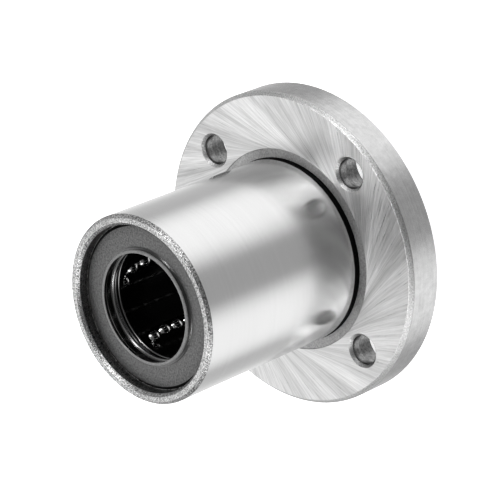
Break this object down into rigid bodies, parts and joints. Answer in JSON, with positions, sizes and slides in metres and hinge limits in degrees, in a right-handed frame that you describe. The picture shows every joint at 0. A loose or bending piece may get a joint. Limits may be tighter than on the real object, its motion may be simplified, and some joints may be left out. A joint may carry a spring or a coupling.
{
  "type": "flanged linear bearing",
  "caption": "Round-flanged linear ball bearing for a 16 mm shaft: ground steel sleeve, rubber end seals, black retainer and recirculating balls.",
  "frame": {"origin": "centre of the flange's back face, on the bore's axis; the bearing stands on this face", "axes": "+Z along the bore from the flange to the nose; +X and +Y point between the four screw holes"},
  "size_m": [0.048, 0.048, 0.037],
  "materials": {
    "bearing_steel": "ground",
    "retainer_resin": "glossy",
    "spring_steel": "satin",
    "seal_rubber": "matte",
    "ball_steel": "polished"
  },
  "bodies": {
    "bearing_body": {"outer_sleeve": "bearing_steel", "retainer": "retainer_resin", "front_retaining_ring": "spring_steel", "rear_retaining_ring": "spring_steel", "front_seal": "seal_rubber", "rear_seal": "seal_rubber"},
    "loaded_balls_1": {"loaded_balls_1": "ball_steel"},
    "return_balls_1": {"return_balls_1": "ball_steel"},
    "front_turn_balls_1": {"front_turn_balls_1": "ball_steel"},
    "rear_turn_balls_1": {"rear_turn_balls_1": "ball_steel"},
    "loaded_balls_2": {"loaded_balls_2": "ball_steel"},
    "return_balls_2": {"return_balls_2": "ball_steel"},
    "front_turn_balls_2": {"front_turn_balls_2": "ball_steel"},
    "rear_turn_balls_2": {"rear_turn_balls_2": "ball_steel"},
    "loaded_balls_3": {"loaded_balls_3": "ball_steel"},
    "return_balls_3": {"return_balls_3": "ball_steel"},
    "front_turn_balls_3": {"front_turn_balls_3": "ball_steel"},
    "rear_turn_balls_3": {"rear_turn_balls_3": "ball_steel"},
    "loaded_balls_4": {"loaded_balls_4": "ball_steel"},
    "return_balls_4": {"return_balls_4": "ball_steel"},
    "front_turn_balls_4": {"front_turn_balls_4": "ball_steel"},
    "rear_turn_balls_4": {"rear_turn_balls_4": "ball_steel"},
    "loaded_balls_5": {"loaded_balls_5": "ball_steel"},
    "return_balls_5": {"return_balls_5": "ball_steel"},
    "front_turn_balls_5": {"front_turn_balls_5": "ball_steel"},
    "rear_turn_balls_5": {"rear_turn_balls_5": "ball_steel"}
  },
  "joints": [
    {"name": "loaded_row_run_1", "type": "slide", "parent": "bearing_body", "child": "loaded_balls_1", "axis": [0, 0, 1], "range_m": [-0.00126, 0.00126]},
    {"name": "return_row_run_1", "type": "slide", "parent": "bearing_body", "child": "return_balls_1", "axis": [0, 0, 1], "range_m": [-0.00126, 0.00126]},
    {"name": "front_turn_run_1", "type": "hinge", "parent": "bearing_body", "child": "front_turn_balls_1", "pos_m": [0.00928, 0.00202, 0.02859], "axis": [-0.9994, 0.0337, 0], "range_deg": [-30, 30]},
    {"name": "rear_turn_run_1", "type": "hinge", "parent": "bearing_body", "child": "rear_turn_balls_1", "pos_m": [0.00928, 0.00202, 0.00841], "axis": [-0.9994, 0.0337, 0], "range_deg": [-30, 30]},
    {"name": "loaded_row_run_2", "type": "slide", "parent": "bearing_body", "child": "loaded_balls_2", "axis": [0, 0, 1], "range_m": [-0.00126, 0.00126]},
    {"name": "return_row_run_2", "type": "slide", "parent": "bearing_body", "child": "return_balls_2", "axis": [0, 0, 1], "range_m": [-0.00126, 0.00126]},
    {"name": "front_turn_run_2", "type": "hinge", "parent": "bearing_body", "child": "front_turn_balls_2", "pos_m": [0.00094, 0.00945, 0.02859], "axis": [-0.3409, -0.9401, 0], "range_deg": [-30, 30]},
    {"name": "rear_turn_run_2", "type": "hinge", "parent": "bearing_body", "child": "rear_turn_balls_2", "pos_m": [0.00094, 0.00945, 0.00841], "axis": [-0.3409, -0.9401, 0], "range_deg": [-30, 30]},
    {"name": "loaded_row_run_3", "type": "slide", "parent": "bearing_body", "child": "loaded_balls_3", "axis": [0, 0, 1], "range_m": [-0.00126, 0.00126]},
    {"name": "return_row_run_3", "type": "slide", "parent": "bearing_body", "child": "return_balls_3", "axis": [0, 0, 1], "range_m": [-0.00126, 0.00126]},
    {"name": "front_turn_run_3", "type": "hinge", "parent": "bearing_body", "child": "front_turn_balls_3", "pos_m": [-0.0087, 0.00382, 0.02859], "axis": [0.7888, -0.6147, 0], "range_deg": [-30, 30]},
    {"name": "rear_turn_run_3", "type": "hinge", "parent": "bearing_body", "child": "rear_turn_balls_3", "pos_m": [-0.0087, 0.00382, 0.00841], "axis": [0.7888, -0.6147, 0], "range_deg": [-30, 30]},
    {"name": "loaded_row_run_4", "type": "slide", "parent": "bearing_body", "child": "loaded_balls_4", "axis": [0, 0, 1], "range_m": [-0.00126, 0.00126]},
    {"name": "return_row_run_4", "type": "slide", "parent": "bearing_body", "child": "return_balls_4", "axis": [0, 0, 1], "range_m": [-0.00126, 0.00126]},
    {"name": "front_turn_run_4", "type": "hinge", "parent": "bearing_body", "child": "front_turn_balls_4", "pos_m": [-0.00632, -0.00709, 0.02859], "axis": [0.8284, 0.5602, 0], "range_deg": [-30, 30]},
    {"name": "rear_turn_run_4", "type": "hinge", "parent": "bearing_body", "child": "rear_turn_balls_4", "pos_m": [-0.00632, -0.00709, 0.00841], "axis": [0.8284, 0.5602, 0], "range_deg": [-30, 30]},
    {"name": "loaded_row_run_5", "type": "slide", "parent": "bearing_body", "child": "loaded_balls_5", "axis": [0, 0, 1], "range_m": [-0.00126, 0.00126]},
    {"name": "return_row_run_5", "type": "slide", "parent": "bearing_body", "child": "return_balls_5", "axis": [0, 0, 1], "range_m": [-0.00126, 0.00126]},
    {"name": "front_turn_run_5", "type": "hinge", "parent": "bearing_body", "child": "front_turn_balls_5", "pos_m": [0.00479, -0.0082, 0.02859], "axis": [-0.2768, 0.9609, 0], "range_deg": [-30, 30]},
    {"name": "rear_turn_run_5", "type": "hinge", "parent": "bearing_body", "child": "rear_turn_balls_5", "pos_m": [0.00479, -0.0082, 0.00841], "axis": [-0.2768, 0.9609, 0], "range_deg": [-30, 30]}
  ],
  "couplings": [
    {"joint": "front_turn_run_1", "follows": "loaded_row_run_1", "rad_per_m": 414.93},
    {"joint": "rear_turn_run_1", "follows": "loaded_row_run_1", "rad_per_m": 414.93},
    {"joint": "return_row_run_1", "follows": "loaded_row_run_1", "ratio": -1},
    {"joint": "front_turn_run_2", "follows": "loaded_row_run_2", "rad_per_m": 414.93},
    {"joint": "rear_turn_run_2", "follows": "loaded_row_run_2", "rad_per_m": 414.93},
    {"joint": "return_row_run_2", "follows": "loaded_row_run_2", "ratio": -1},
    {"joint": "front_turn_run_3", "follows": "loaded_row_run_3", "rad_per_m": 414.93},
    {"joint": "rear_turn_run_3", "follows": "loaded_row_run_3", "rad_per_m": 414.93},
    {"joint": "return_row_run_3", "follows": "loaded_row_run_3", "ratio": -1},
    {"joint": "front_turn_run_4", "follows": "loaded_row_run_4", "rad_per_m": 414.93},
    {"joint": "rear_turn_run_4", "follows": "loaded_row_run_4", "rad_per_m": 414.93},
    {"joint": "return_row_run_4", "follows": "loaded_row_run_4", "ratio": -1},
    {"joint": "front_turn_run_5", "follows": "loaded_row_run_5", "rad_per_m": 414.93},
    {"joint": "rear_turn_run_5", "follows": "loaded_row_run_5", "rad_per_m": 414.93},
    {"joint": "return_row_run_5", "follows": "loaded_row_run_5", "ratio": -1}
  ]
}
